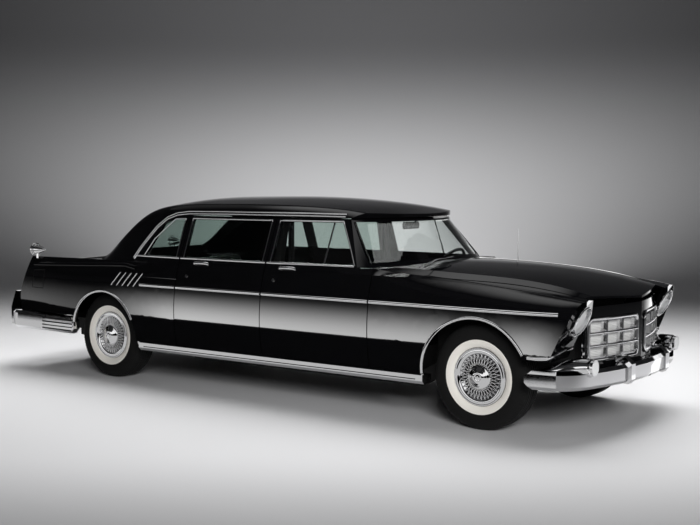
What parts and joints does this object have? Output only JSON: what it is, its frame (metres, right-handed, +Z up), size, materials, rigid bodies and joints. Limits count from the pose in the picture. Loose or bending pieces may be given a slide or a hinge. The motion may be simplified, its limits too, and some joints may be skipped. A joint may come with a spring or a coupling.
{
  "type": "formal limousine",
  "caption": "Long black formal limousine with a divided cabin, wraparound windscreen, twin egg-crate grilles, hinged doors, hood and boot lid, and steered wheels.",
  "frame": {"origin": "on the ground under the middle of the overall length and width", "axes": "+X to the front of the car, +Y to its left side, +Z up"},
  "size_m": [6.159, 2.016, 1.6291],
  "materials": {
    "paint": "gloss",
    "chrome": "polished",
    "glass": "clear",
    "tyre": "matte",
    "lens": "clear",
    "red_lens": "gloss",
    "seat": "satin",
    "trim": "matte",
    "black_plastic": "gloss",
    "underbody": "satin"
  },
  "bodies": {
    "body": {"chassis_frame": "underbody", "cowl": "paint", "dashboard": "trim", "deck": "paint", "division": "trim", "division_glass": "glass", "door_posts": "underbody", "engine": "underbody", "floor_pan": "underbody", "front_bumper": "chrome", "front_fenders": "paint", "front_seat": "seat", "front_suspension": "underbody", "fuel_tank": "underbody", "grille": "chrome", "lamp_bezels": "chrome", "lamp_lenses": "lens", "leaf_springs": "underbody", "nose_panel": "paint", "prop_shaft": "underbody", "quarter_panels": "paint", "quarter_windows": "glass", "rear_axle": "underbody", "rear_bumper": "chrome", "rear_seat": "seat", "rear_window": "glass", "roof": "paint", "screen_frame": "paint", "sills": "chrome", "steering_column": "black_plastic", "tail_lamps": "chrome", "tail_lenses": "red_lens", "tail_panel": "paint", "wheelhouses": "underbody", "windscreen": "glass"},
    "front_door_left": {"front_door_left": "paint", "front_door_glass_left": "glass"},
    "wheel_front_left": {"wheel_front_left": "chrome", "tyre_front_left": "tyre"},
    "front_door_right": {"front_door_right": "paint", "front_door_glass_right": "glass"},
    "wheel_front_right": {"wheel_front_right": "chrome", "tyre_front_right": "tyre"},
    "rear_door_left": {"rear_door_left": "paint", "rear_door_glass_left": "glass"},
    "wheel_rear_left": {"wheel_rear_left": "chrome", "tyre_rear_left": "tyre"},
    "rear_door_right": {"rear_door_right": "paint", "rear_door_glass_right": "glass"},
    "wheel_rear_right": {"wheel_rear_right": "chrome", "tyre_rear_right": "tyre"},
    "hood": {"hood": "paint"},
    "boot_lid": {"boot_lid": "paint"},
    "knuckle_left": {"knuckle_left": "underbody"},
    "knuckle_right": {"knuckle_right": "underbody"},
    "steering_wheel": {"steering_wheel": "black_plastic"}
  },
  "joints": [
    {"name": "front_door_left_swing", "type": "hinge", "parent": "body", "child": "front_door_left", "pos_m": [1.1865, 0.976, 0.61], "axis": [0, 0, -1], "range_deg": [0, 65]},
    {"name": "front_door_right_swing", "type": "hinge", "parent": "body", "child": "front_door_right", "pos_m": [1.1865, -0.976, 0.61], "axis": [0, 0, 1], "range_deg": [0, 65]},
    {"name": "rear_door_left_swing", "type": "hinge", "parent": "body", "child": "rear_door_left", "pos_m": [0.1445, 0.976, 0.61], "axis": [0, 0, -1], "range_deg": [0, 65]},
    {"name": "rear_door_right_swing", "type": "hinge", "parent": "body", "child": "rear_door_right", "pos_m": [0.1445, -0.976, 0.61], "axis": [0, 0, 1], "range_deg": [0, 65]},
    {"name": "hood_lift", "type": "hinge", "parent": "body", "child": "hood", "pos_m": [1.7975, 0, 1.114], "axis": [0, -1, 0], "range_deg": [0, 50]},
    {"name": "boot_lid_lift", "type": "hinge", "parent": "body", "child": "boot_lid", "pos_m": [-2.0995, 0, 1.021], "axis": [0, 1, 0], "range_deg": [0, 60]},
    {"name": "steer_left", "type": "hinge", "parent": "body", "child": "knuckle_left", "pos_m": [2.1635, 0.6725, 0.381], "axis": [0, 0, 1], "range_deg": [-30, 30]},
    {"name": "steer_right", "type": "hinge", "parent": "body", "child": "knuckle_right", "pos_m": [2.1635, -0.6725, 0.381], "axis": [0, 0, 1], "range_deg": [-30, 30]},
    {"name": "steering_turn", "type": "hinge", "parent": "body", "child": "steering_wheel", "pos_m": [1.1235, 0.4, 1.01], "axis": [-0.7974, 0, 0.6034], "range_deg": [-480, 480]},
    {"name": "wheel_front_left_spin", "type": "hinge", "parent": "knuckle_left", "child": "wheel_front_left", "pos_m": [2.1635, 0.7675, 0.381], "axis": [0, 1, 0], "continuous": true},
    {"name": "wheel_front_right_spin", "type": "hinge", "parent": "knuckle_right", "child": "wheel_front_right", "pos_m": [2.1635, -0.7675, 0.381], "axis": [0, 1, 0], "continuous": true},
    {"name": "wheel_rear_left_spin", "type": "hinge", "parent": "body", "child": "wheel_rear_left", "pos_m": [-1.6335, 0.762, 0.381], "axis": [0, 1, 0], "continuous": true},
    {"name": "wheel_rear_right_spin", "type": "hinge", "parent": "body", "child": "wheel_rear_right", "pos_m": [-1.6335, -0.762, 0.381], "axis": [0, 1, 0], "continuous": true}
  ],
  "couplings": [
    {"joint": "steer_right", "follows": "steer_left", "ratio": 1},
    {"joint": "steering_turn", "follows": "steer_left", "ratio": 16}
  ]
}
